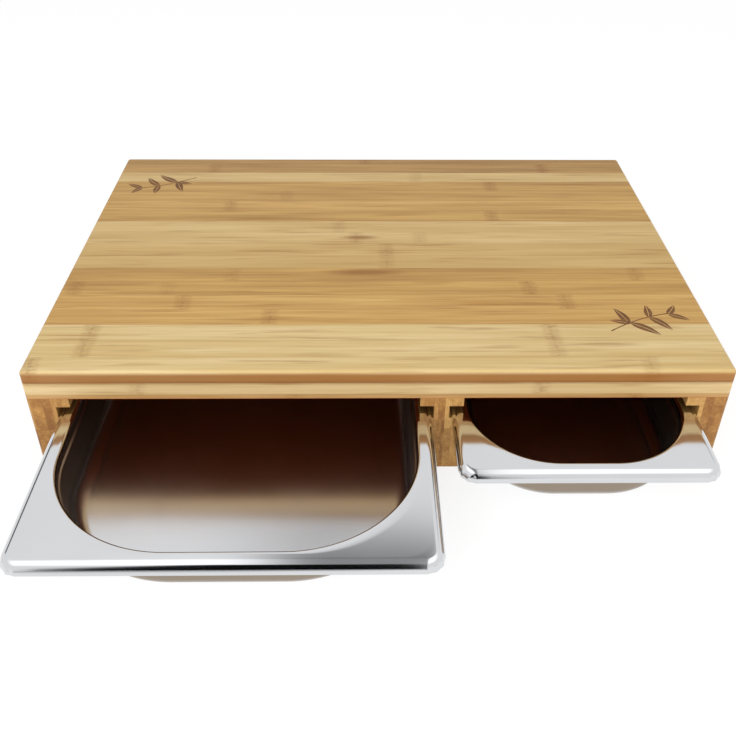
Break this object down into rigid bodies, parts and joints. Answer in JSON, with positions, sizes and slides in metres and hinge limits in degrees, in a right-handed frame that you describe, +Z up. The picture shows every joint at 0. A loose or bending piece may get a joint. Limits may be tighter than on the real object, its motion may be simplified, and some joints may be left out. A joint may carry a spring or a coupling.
{
  "type": "cutting board with drawer trays",
  "caption": "Thick bamboo cutting board on a low open base, with steel gastronorm trays that hang by their rims in grooved rails and slide out at the front.",
  "frame": {"origin": "on the table, at the middle of the back board's underside", "axes": "+X to the right along the board's long side, -Y to the front where the trays slide out, +Z up to the cutting surface"},
  "size_m": [0.498, 0.489, 0.0908],
  "materials": {
    "top_bamboo": "oiled bamboo, flat grain",
    "middle_bamboo": "oiled bamboo, pale inner ply",
    "bottom_bamboo": "oiled bamboo, thin lower ply",
    "base_bamboo": "oiled caramel bamboo",
    "rail_bamboo": "oiled caramel bamboo",
    "beech": "raw planed beech",
    "stainless_steel": "pressed stainless steel, satin rim and bright basin"
  },
  "bodies": {
    "board": {"top_stave_01": "top_bamboo", "top_stave_02": "top_bamboo", "top_stave_03": "top_bamboo", "top_stave_04": "top_bamboo", "top_stave_05": "top_bamboo", "top_stave_06": "top_bamboo", "top_stave_07": "top_bamboo", "top_stave_08": "top_bamboo", "top_stave_09": "top_bamboo", "top_stave_10": "top_bamboo", "top_stave_11": "top_bamboo", "top_stave_12": "top_bamboo", "top_stave_13": "top_bamboo", "top_stave_14": "top_bamboo", "top_stave_15": "top_bamboo", "top_stave_16": "top_bamboo", "top_stave_17": "top_bamboo", "top_stave_18": "top_bamboo", "middle_stave_01": "middle_bamboo", "middle_stave_02": "middle_bamboo", "middle_stave_03": "middle_bamboo", "middle_stave_04": "middle_bamboo", "middle_stave_05": "middle_bamboo", "middle_stave_06": "middle_bamboo", "middle_stave_07": "middle_bamboo", "middle_stave_08": "middle_bamboo", "middle_stave_09": "middle_bamboo", "middle_stave_10": "middle_bamboo", "middle_stave_11": "middle_bamboo", "middle_stave_12": "middle_bamboo", "middle_stave_13": "middle_bamboo", "middle_stave_14": "middle_bamboo", "middle_stave_15": "middle_bamboo", "middle_stave_16": "middle_bamboo", "middle_stave_17": "middle_bamboo", "middle_stave_18": "middle_bamboo", "bottom_ply": "bottom_bamboo", "left_wall": "base_bamboo", "right_wall": "base_bamboo", "back_board": "base_bamboo", "divider_core": "base_bamboo", "large_bay_wall_rail": "rail_bamboo", "large_bay_divider_rail": "rail_bamboo", "small_bay_divider_rail": "rail_bamboo", "small_bay_wall_rail": "rail_bamboo", "wall_tongues": "beech", "back_tongue": "beech", "corner_tongues": "beech"},
    "large_tray": {"large_tray": "stainless_steel"},
    "small_tray": {"small_tray": "stainless_steel"}
  },
  "joints": [
    {"name": "large_tray_slide", "type": "slide", "parent": "board", "child": "large_tray", "axis": [0, -1, 0], "range_m": [-0.146, 0.146]},
    {"name": "small_tray_slide", "type": "slide", "parent": "board", "child": "small_tray", "axis": [0, -1, 0], "range_m": [-0.0725, 0.2195]}
  ]
}
